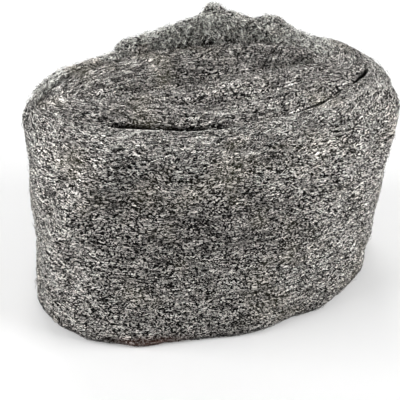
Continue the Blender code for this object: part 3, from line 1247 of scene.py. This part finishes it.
@dataclass(frozen=True)
class Lamp:
    """A soft square lamp: where it hangs and its side in metres, and its power in watts."""

    name: str
    place: Triple
    size: float
    power: float

    def hang(self, target: np.ndarray) -> None:
        """Hangs the lamp, facing the target."""
        lamp = bpy.data.lights.new(self.name, "AREA")
        lamp.shape = "SQUARE"
        lamp.size = self.size
        lamp.energy = self.power
        holder = bpy.data.objects.new(self.name, lamp)
        bpy.context.scene.collection.objects.link(holder)
        aim = target - np.array(self.place)
        across = math.atan2(-aim[0], aim[1])
        down = math.atan2(math.hypot(aim[0], aim[1]), -aim[2])
        holder.location = self.place
        holder.rotation_euler = (down, 0.0, across)


@dataclass
class Studio:
    """The pale floor, the white surroundings, the soft lamps and the camera."""

    focal_length: float = 81.0
    distance: float = 0.394
    elevation: float = math.radians(36.6)
    azimuth: float = math.radians(-17.0)
    shift: Pair = (-0.019, -0.04875)
    look_height: float = 0.045
    floor_side: float = 3.2
    floor_glow: float = 0.12
    ambient: float = 0.33
    lamps: tuple[Lamp, ...] = (
        Lamp("left_lamp", (-1.00, 0.05, 0.50), 0.80, 12.0),
        Lamp("right_lamp", (0.94, -0.50, 0.50), 0.60, 13.5),
        Lamp("top_lamp", (0.1, -0.25, 1.15), 0.35, 0.3),
        Lamp("back_lamp", (0.10, 1.00, 0.80), 0.60, 5.0),
    )

    def build(self) -> None:
        """Sets up the whole studio."""
        scene = bpy.context.scene
        scene.view_settings.view_transform = "Standard"
        self.lay_floor()
        self.light_surroundings(scene)
        for lamp in self.lamps:
            lamp.hang(np.array((0.0, 0.0, self.look_height)))
        self.place_camera(scene)

    def lay_floor(self) -> None:
        """Lays the floor, which shows white where nothing shades it and keeps the shadow."""
        deselect_all()
        bpy.ops.mesh.primitive_plane_add(size=self.floor_side)
        floor = bpy.context.active_object
        floor.name = "floor"
        with editing(floor):
            bpy.ops.mesh.subdivide(number_cuts=7)
        material, nodes = new_material("pale_floor")
        place = nodes.node("ShaderNodeTexCoord", output="Object")
        tone = nodes.grey(nodes.noise(place, 10 * MM).ranged(0.87, 0.89))
        matt = nodes.node("ShaderNodeBsdfDiffuse", {}, {"Color": tone})
        values = {"Color": WHITE, "Strength": self.floor_glow}
        glow = nodes.node("ShaderNodeEmission", {}, values)
        both = nodes.node("ShaderNodeAddShader", {}, {0: matt, 1: glow})
        shader = nodes.node("ShaderNodeMixShader", {}, {0: self.seen(nodes), 1: matt, 2: both})
        nodes.finish(shader)
        floor.data.materials.append(material)

    @staticmethod
    def seen(nodes: NodeTree) -> Socket:
        """1 for rays from the camera, or from a glossy or clear surface, and 0 for others."""
        names = ("Is Camera Ray", "Is Glossy Ray", "Is Transmission Ray")
        camera, glossy, clear = (
            nodes.node("ShaderNodeLightPath", output=name) for name in names)
        return (camera + glossy + clear).clamped()

    def light_surroundings(self, scene: bpy.types.Scene) -> None:
        """Makes the surroundings white to look at and moderate as a light."""
        world = bpy.data.worlds.new("studio")
        scene.world = world
        world.use_nodes = True
        nodes = NodeTree(world.node_tree)
        towards = nodes.node("ShaderNodeTexCoord", output="Generated")
        front = nodes.part(towards, 1).smooth_step(0.15, -0.75)
        lighting = 1 - nodes.node("ShaderNodeLightPath", output="Is Camera Ray")
        strength = self.seen(nodes).ranged(self.ambient, 1.0) * (1 - front * lighting)
        light = nodes.node("ShaderNodeBackground", {}, {"Color": WHITE, "Strength": strength})
        nodes.finish(light, "ShaderNodeOutputWorld")

    def place_camera(self, scene: bpy.types.Scene) -> None:
        """Stands the camera where the photograph was taken from."""
        camera = bpy.data.cameras.new("camera")
        camera.lens = self.focal_length
        camera.sensor_width = 36.0
        camera.shift_x, camera.shift_y = self.shift
        holder = bpy.data.objects.new("camera", camera)
        scene.collection.objects.link(holder)
        level = self.distance * math.cos(self.elevation)
        holder.location = (level * math.sin(self.azimuth), -level * math.cos(self.azimuth),
                           self.look_height + self.distance * math.sin(self.elevation))
        holder.rotation_euler = (math.pi / 2 - self.elevation, 0.0, self.azimuth)
        scene.camera = holder


COATS = (
    StrandCoat("wall_under_strands", Zone.WALL, 9800, 11, lift=(0.0 * MM, 0.35 * MM), stray=0.0,
               spread=math.radians(7), curl=math.radians(5), band_strength=0.10),
    StrandCoat("wall_over_strands", Zone.WALL, 9800, 23, lift=(0.1 * MM, 0.6 * MM), stray=0.05,
               spread=math.radians(8), curl=math.radians(6), band_strength=0.10),
    StrandCoat("top_strands", Zone.TOP, 9800, 37, stray=0.05, spread=math.radians(12),
               curl=math.radians(8)),
    StrandCoat("rim_strands", Zone.FLAP, 9800, 53, stray=0.22, spread=math.radians(24),
               stray_reach=2.4 * MM),
)


def main() -> None:
    """Builds the roll piece by piece, then the studio."""
    logging.basicConfig(level=logging.INFO, format="%(message)s")
    body, surface = WoolBody().build()
    # The matted body is painted darker than the strands, as the shade deep between the fibres.
    body.data.materials.append(WoolFinish("matted_wool", 0.008, 0.75).material(False))
    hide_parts(NODE)
    pieces = [body]
    strand = Strand()
    strand.model()
    # Lit and shaded copies of one finish: the top strands are painted darker, and the loose flap
    # and rim strands are painted brighter, as painted shade and painted light.
    metal = WoolFinish("steel_strands", 0.006, 1.18).material(True)
    shaded_top = WoolFinish("top_strands", 0.006, 0.78).material(True)
    loose = WoolFinish("loose_strands", 0.01, 2.60, glints=(0.42, 0.54),
                       grain=(0.50 * MM, 0.40 * MM, 1.0 * MM)).material(True)
    metals = {Zone.WALL: metal, Zone.TOP: shaded_top, Zone.FLAP: loose}
    for coat in COATS:
        piece = coat.build(surface, strand)
        piece.data.materials.append(metals[coat.zone])
        pieces.append(piece)
    for piece in pieces:
        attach(piece, BODY)
        triangles = sum(len(polygon.vertices) - 2 for polygon in piece.data.polygons)
        log.info("%s: %d triangles", piece.name, triangles)
    Studio().build()


if __name__ == "__main__":
    main()
